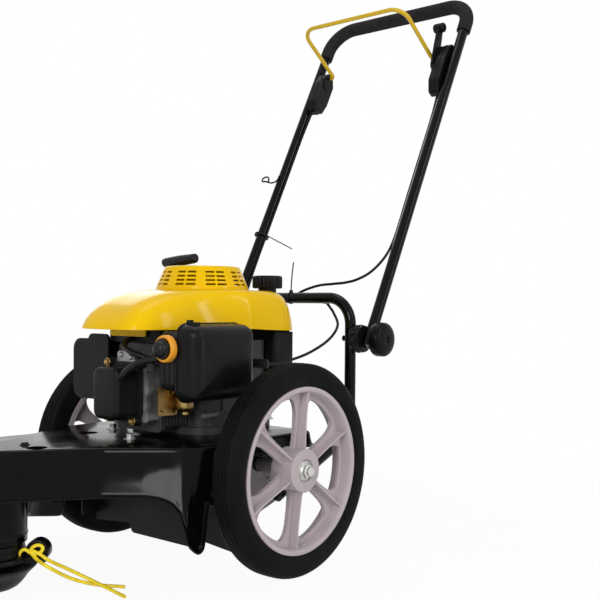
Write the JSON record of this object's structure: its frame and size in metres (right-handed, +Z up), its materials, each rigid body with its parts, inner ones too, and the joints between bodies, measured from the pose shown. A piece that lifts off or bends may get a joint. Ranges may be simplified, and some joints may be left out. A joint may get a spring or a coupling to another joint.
{
  "type": "walk-behind string trimmer mower",
  "caption": "Wheeled petrol string trimmer with a belt-driven head on a bowl foot, a folding handle, bail and throttle.",
  "frame": {"origin": "on the ground, in the middle of the footprint", "axes": "+Z up, -Y to the machine's front (trimmer head), +X to the machine's left"},
  "size_m": [0.535, 1.117, 1.1454],
  "materials": {
    "black_paint": "gloss powder coat",
    "black_plastic": "fine-grained moulding",
    "rubber": "matt",
    "tyre": "matt",
    "yellow": "gloss moulding",
    "rim_grey": "satin moulding",
    "steel": "bright zinc",
    "gold_zinc": "yellow zinc",
    "cast": "as cast",
    "grey_plate": "grey zinc",
    "foam": "foam",
    "orange": "satin",
    "line": "drawn nylon",
    "yellow_wire": "vinyl-coated wire"
  },
  "bodies": {
    "chassis": {"air_filter_base": "black_plastic", "air_filter_cover": "black_plastic", "axle": "steel", "axle_bracket_left": "grey_plate", "axle_bracket_right": "grey_plate", "axle_nut_left": "steel", "axle_nut_right": "steel", "bail_cable_lower": "rubber", "carburettor": "cast", "control_plate": "gold_zinc", "cowl": "yellow", "cylinder_head": "cast", "debris_shield": "black_plastic", "deck": "black_paint", "drive_belt": "rubber", "engine_block": "cast", "fuel_tank": "black_plastic", "governor_spring": "steel", "handle_frame": "black_paint", "idler_spring": "steel", "index_plate_left": "black_plastic", "index_plate_right": "black_plastic", "muffler": "black_paint", "primer_ring": "orange", "recoil_cover": "yellow", "rocker_cover": "black_plastic", "spark_plug_lead": "rubber", "spindle_housing": "black_paint", "throttle_cable_lower": "rubber"},
    "wheel_left": {"tyre_left": "tyre", "rim_left": "rim_grey"},
    "wheel_right": {"tyre_right": "tyre", "rim_right": "rim_grey"},
    "crank": {"crankshaft": "steel", "flywheel": "cast"},
    "head": {"spindle": "steel", "trimmer_head": "black_plastic", "line_end_near_a": "line", "line_end_near_b": "line", "line_end_far_a": "line", "line_end_far_b": "line"},
    "foot": {"mow_ball": "black_plastic"},
    "idler": {"idler_arm": "gold_zinc"},
    "roller": {"idler_roller": "black_plastic"},
    "handle": {"handle_tube": "black_paint", "grip_foam": "foam", "throttle_housing": "black_plastic", "bail_housing": "black_plastic", "rope_guide": "black_paint", "throttle_cable_upper": "rubber", "bail_cable_upper": "rubber"},
    "knob_left": {"clamp_knob_left": "black_plastic"},
    "knob_right": {"clamp_knob_right": "black_plastic"},
    "bail": {"bail": "yellow_wire"},
    "throttle": {"throttle_lever": "black_plastic"},
    "control": {"control_lever": "steel"},
    "primer": {"primer_bulb": "rubber"},
    "fuel_cap": {"fuel_cap": "black_plastic"},
    "oil_cap": {"oil_cap": "black_plastic"},
    "starter": {"starter_grip": "black_plastic"}
  },
  "joints": [
    {"name": "wheel_left_spin", "type": "hinge", "parent": "chassis", "child": "wheel_left", "pos_m": [0.2305, -0.10606, 0.178], "axis": [1, 0, 0], "continuous": true},
    {"name": "wheel_right_spin", "type": "hinge", "parent": "chassis", "child": "wheel_right", "pos_m": [-0.2305, -0.10606, 0.178], "axis": [1, 0, 0], "continuous": true},
    {"name": "crank_spin", "type": "hinge", "parent": "chassis", "child": "crank", "pos_m": [0, -0.09906, 0.2065], "axis": [0, 0, 1], "continuous": true},
    {"name": "head_spin", "type": "hinge", "parent": "chassis", "child": "head", "pos_m": [-0.086, -0.47406, 0.06], "axis": [0, 0, 1], "continuous": true},
    {"name": "foot_spin", "type": "hinge", "parent": "head", "child": "foot", "pos_m": [-0.086, -0.47406, 0], "axis": [0, 0, 1], "continuous": true},
    {"name": "idler_swing", "type": "hinge", "parent": "chassis", "child": "idler", "pos_m": [-0.118, -0.17406, 0.2065], "axis": [0, 0, 1], "range_deg": [0, 6]},
    {"name": "roller_spin", "type": "hinge", "parent": "idler", "child": "roller", "pos_m": [-0.1012, -0.26606, 0.2065], "axis": [0, 0, 1], "continuous": true},
    {"name": "handle_fold", "type": "hinge", "parent": "chassis", "child": "handle", "pos_m": [0, 0.15974, 0.388], "axis": [1, 0, 0], "range_deg": [-8, 105]},
    {"name": "knob_left_turn", "type": "hinge", "parent": "chassis", "child": "knob_left", "pos_m": [0.2135, 0.15974, 0.388], "axis": [1, 0, 0], "range_deg": [0, 360]},
    {"name": "knob_right_turn", "type": "hinge", "parent": "chassis", "child": "knob_right", "pos_m": [-0.2135, 0.15974, 0.388], "axis": [-1, 0, 0], "range_deg": [0, 360]},
    {"name": "bail_squeeze", "type": "hinge", "parent": "handle", "child": "bail", "pos_m": [0, 0.47597, 1], "axis": [1, 0, 0], "range_deg": [-74, 0], "stiffness_Nm_per_rad": 0.6},
    {"name": "throttle_swing", "type": "hinge", "parent": "handle", "child": "throttle", "pos_m": [0.1544, 0.4526, 0.978], "axis": [1, 0, 0], "range_deg": [0, 40]},
    {"name": "control_swing", "type": "hinge", "parent": "chassis", "child": "control", "pos_m": [0.0926, -0.10006, 0.322], "axis": [1, 0, 0], "range_deg": [0, 20]},
    {"name": "primer_press", "type": "slide", "parent": "chassis", "child": "primer", "axis": [0, 1, 0], "range_m": [0, 0.007], "stiffness_N_per_m": 400},
    {"name": "fuel_cap_turn", "type": "hinge", "parent": "chassis", "child": "fuel_cap", "pos_m": [0.055, 0.01794, 0.483], "axis": [0, 0, 1], "range_deg": [0, 90]},
    {"name": "oil_cap_turn", "type": "hinge", "parent": "chassis", "child": "oil_cap", "pos_m": [-0.088, -0.06606, 0.3], "axis": [-1, 0, 0], "range_deg": [0, 180]},
    {"name": "starter_pull", "type": "slide", "parent": "chassis", "child": "starter", "axis": [-0.3064, 0.8602, 0.4076], "range_m": [0, 0.35], "stiffness_N_per_m": 12}
  ],
  "couplings": [
    {"joint": "head_spin", "follows": "crank_spin", "ratio": 0.71429},
    {"joint": "idler_swing", "follows": "bail_squeeze", "ratio": -0.08},
    {"joint": "control_swing", "follows": "throttle_swing", "ratio": 0.5}
  ]
}
